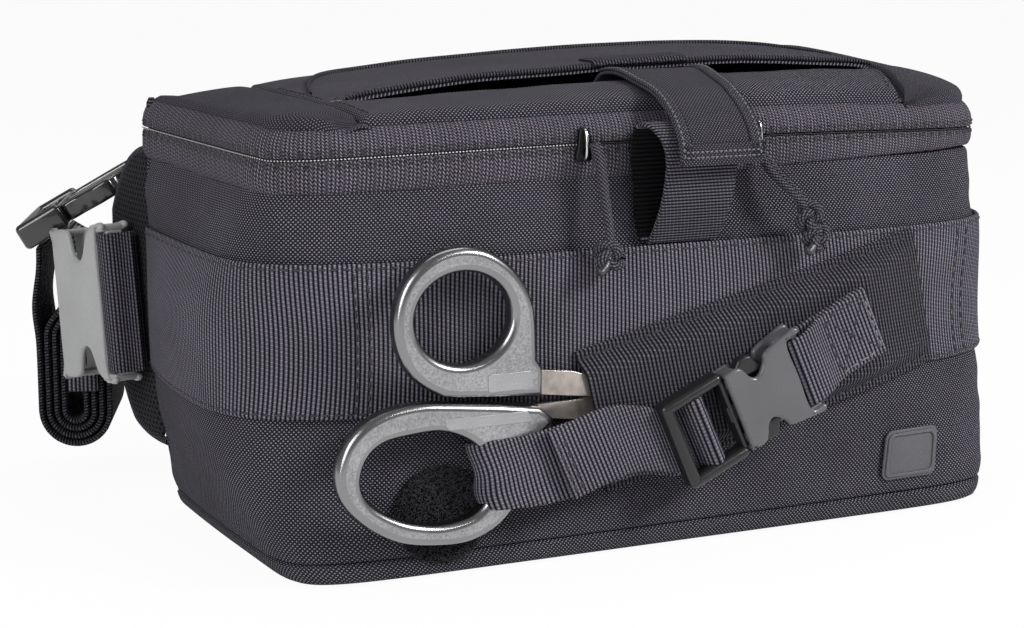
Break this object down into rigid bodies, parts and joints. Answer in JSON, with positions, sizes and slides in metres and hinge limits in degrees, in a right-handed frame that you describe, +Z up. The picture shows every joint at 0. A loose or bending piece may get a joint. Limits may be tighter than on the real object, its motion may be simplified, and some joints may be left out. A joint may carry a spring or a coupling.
{
  "type": "first-aid waist pack",
  "caption": "Soft zipped waist pack with a pocketed lid, a hook-over closure flap, bandage shears held in a front sheath by a buckled strap, and a padded waist belt with a rolled strap end.",
  "frame": {"origin": "centre of the flat bottom face of the bag", "axes": "+X to the bag's right as seen from its front, +Y to the back panel that faces the wearer, +Z up"},
  "size_m": [0.3343, 0.2482, 0.1651],
  "materials": {
    "woven_nylon": "coarse plain weave, matt",
    "spacer_mesh": "padded open mesh, matt",
    "zip_tape": "fine twill tape, slight sheen",
    "zip_coil": "nylon coil",
    "ribbed_webbing": "ribbed webbing, slight sheen",
    "lining": "smooth coated lining",
    "loop_pile": "fluffy loop pile",
    "moulded_rubber": "moulded soft rubber, matt",
    "buckle_plastic": "satin moulded acetal",
    "blackened_slider": "blackened die casting",
    "braided_cord": "braided cord",
    "satin_handle": "satin cast, polished rims",
    "blade_steel": "ground steel"
  },
  "bodies": {
    "bag": {"back_pad": "spacer_mesh", "back_panel": "woven_nylon", "badge_patch": "moulded_rubber", "belt_buckle_male": "buckle_plastic", "belt_strap_long": "ribbed_webbing", "belt_tail_roll": "ribbed_webbing", "bottom_panel": "woven_nylon", "buckle_anchor_strap": "ribbed_webbing", "closure_loop": "ribbed_webbing", "finger_blade": "blade_steel", "finger_handle": "satin_handle", "front_band": "ribbed_webbing", "front_buckle_female": "buckle_plastic", "front_buckle_male": "buckle_plastic", "front_wall": "woven_nylon", "loop_patch": "loop_pile", "lower_zip_coil": "zip_coil", "lower_zip_tape": "zip_tape", "pivot_rivet": "blade_steel", "roll_keeper": "ribbed_webbing", "shears_sheath": "ribbed_webbing", "shears_strap": "ribbed_webbing", "wing_right": "spacer_mesh"},
    "lid": {"lid_corner_left": "woven_nylon", "lid_corner_right": "woven_nylon", "lid_front_panel": "woven_nylon", "lid_lining": "lining", "lid_rear_binding": "ribbed_webbing", "lid_rear_panel": "woven_nylon", "lid_rear_wall": "woven_nylon", "pocket_tab": "ribbed_webbing", "slit_binding": "ribbed_webbing", "upper_zip_coil": "zip_coil", "upper_zip_tape": "zip_tape"},
    "flap": {"closure_flap": "ribbed_webbing"},
    "slider_left": {"slider_left": "blackened_slider"},
    "slider_right": {"slider_right": "blackened_slider"},
    "pull_left": {"pull_cord_left_left": "braided_cord", "pull_cord_left_right": "braided_cord", "pull_knot_left": "braided_cord"},
    "pull_right": {"pull_cord_right_left": "braided_cord", "pull_cord_right_right": "braided_cord", "pull_knot_right": "braided_cord"},
    "shears_thumb_half": {"thumb_handle": "satin_handle", "thumb_blade": "blade_steel"},
    "front_arm_upper": {"front_buckle_arm_upper": "buckle_plastic"},
    "front_arm_lower": {"front_buckle_arm_lower": "buckle_plastic"},
    "belt_arm_front": {"belt_buckle_arm_front": "buckle_plastic"},
    "belt_arm_rear": {"belt_buckle_arm_rear": "buckle_plastic"},
    "wing_left": {"wing_left": "spacer_mesh", "belt_strap_left": "ribbed_webbing", "belt_buckle_female": "buckle_plastic"}
  },
  "joints": [
    {"name": "lid_hinge", "type": "hinge", "parent": "bag", "child": "lid", "pos_m": [0, 0.058, 0.1367], "axis": [-1, 0, 0], "range_deg": [0, 95]},
    {"name": "flap_hinge", "type": "hinge", "parent": "lid", "child": "flap", "pos_m": [0.008, -0.0181, 0.15844], "axis": [-1, 0, 0], "range_deg": [0, 95]},
    {"name": "slider_left_slide", "type": "slide", "parent": "bag", "child": "slider_left", "axis": [1, 0, 0], "range_m": [-0.02, 0.01]},
    {"name": "slider_right_slide", "type": "slide", "parent": "bag", "child": "slider_right", "axis": [1, 0, 0], "range_m": [0, 0.015]},
    {"name": "pull_left_swing", "type": "hinge", "parent": "slider_left", "child": "pull_left", "pos_m": [-0.034, -0.0599, 0.1355], "axis": [-1, 0, 0], "range_deg": [0, 45]},
    {"name": "pull_right_swing", "type": "hinge", "parent": "slider_right", "child": "pull_right", "pos_m": [0.033, -0.0599, 0.1355], "axis": [-1, 0, 0], "range_deg": [0, 45]},
    {"name": "shears_pivot", "type": "hinge", "parent": "bag", "child": "shears_thumb_half", "pos_m": [-0.02, -0.06206, 0.059], "axis": [0, 1, 0], "range_deg": [0, 5]},
    {"name": "front_arm_upper_squeeze", "type": "hinge", "parent": "bag", "child": "front_arm_upper", "pos_m": [0.00927, -0.07719, 0.05678], "axis": [0, -1, 0], "range_deg": [-7, 0], "stiffness_Nm_per_rad": 0.15},
    {"name": "front_arm_lower_squeeze", "type": "hinge", "parent": "bag", "child": "front_arm_lower", "pos_m": [0.01773, -0.07719, 0.03822], "axis": [0, -1, 0], "range_deg": [0, 7], "stiffness_Nm_per_rad": 0.15},
    {"name": "belt_arm_front_squeeze", "type": "hinge", "parent": "bag", "child": "belt_arm_front", "pos_m": [-0.16099, 0.11188, 0.1032], "axis": [-0.4636, 0.1873, 0.866], "range_deg": [0, 7], "stiffness_Nm_per_rad": 0.15},
    {"name": "belt_arm_rear_squeeze", "type": "hinge", "parent": "bag", "child": "belt_arm_rear", "pos_m": [-0.14399, 0.15398, 0.1032], "axis": [-0.4636, 0.1873, 0.866], "range_deg": [-7, 0], "stiffness_Nm_per_rad": 0.15},
    {"name": "wing_left_hinge", "type": "hinge", "parent": "bag", "child": "wing_left", "pos_m": [-0.147, 0.0582, 0.078], "axis": [0, 0, 1], "range_deg": [0, 20]}
  ],
  "couplings": [
    {"joint": "front_arm_lower_squeeze", "follows": "front_arm_upper_squeeze", "ratio": -1},
    {"joint": "belt_arm_front_squeeze", "follows": "belt_arm_rear_squeeze", "ratio": -1}
  ]
}
